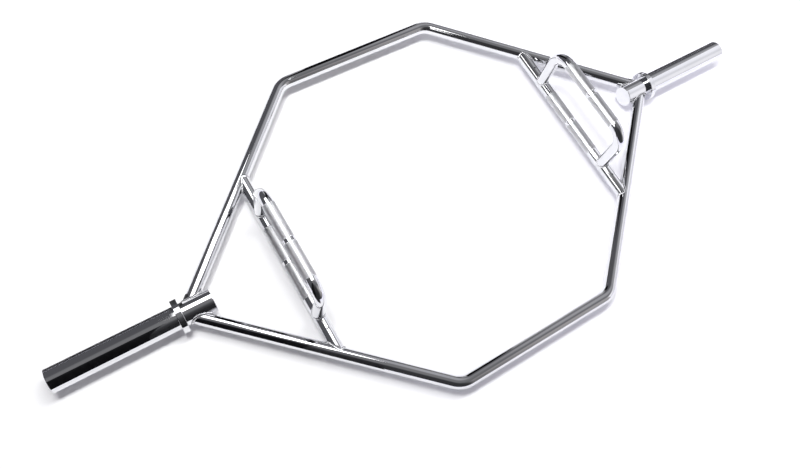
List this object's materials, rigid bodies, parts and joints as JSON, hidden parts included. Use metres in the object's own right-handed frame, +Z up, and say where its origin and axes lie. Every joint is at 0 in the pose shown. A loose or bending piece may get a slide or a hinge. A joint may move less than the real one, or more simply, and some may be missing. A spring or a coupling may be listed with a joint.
{
  "type": "hex trap bar",
  "caption": "Hexagonal trap bar of welded chromed tube, with a plate sleeve at each end, low knurled grips and raised knurled handles, for standing inside and lifting.",
  "frame": {"origin": "centre of the bounding box at floor level, under the middle of the hexagon, with the bar resting on its collars", "axes": "+X along the sleeves towards the right sleeve, +Y towards the rear frame tube, +Z up, the way the raised handles stand"},
  "size_m": [1.774, 0.823, 0.1747],
  "materials": {
    "chrome_tube": "bright chrome plate on round tube",
    "chrome_sleeve": "bright chrome plate, lightly worn by plates",
    "chrome_cap": "bright chrome plate on flat disc",
    "chrome_grip": "bright chrome plate with diamond knurl zones",
    "chrome_weld": "chrome plate over weld bead"
  },
  "bodies": {
    "root": {"front_frame_tube": "chrome_tube", "rear_frame_tube": "chrome_tube", "left_sleeve": "chrome_sleeve", "left_collar": "chrome_sleeve", "left_inner_end_cap": "chrome_cap", "left_outer_end_cap": "chrome_cap", "left_low_grip": "chrome_grip", "left_high_handle": "chrome_grip", "left_front_hub_weld": "chrome_weld", "left_front_grip_weld": "chrome_weld", "left_front_foot_weld": "chrome_weld", "left_rear_hub_weld": "chrome_weld", "left_rear_grip_weld": "chrome_weld", "left_rear_foot_weld": "chrome_weld", "right_sleeve": "chrome_sleeve", "right_collar": "chrome_sleeve", "right_inner_end_cap": "chrome_cap", "right_outer_end_cap": "chrome_cap", "right_low_grip": "chrome_grip", "right_high_handle": "chrome_grip", "right_front_hub_weld": "chrome_weld", "right_front_grip_weld": "chrome_weld", "right_front_foot_weld": "chrome_weld", "right_rear_hub_weld": "chrome_weld", "right_rear_grip_weld": "chrome_weld", "right_rear_foot_weld": "chrome_weld"}
  },
  "joints": []
}
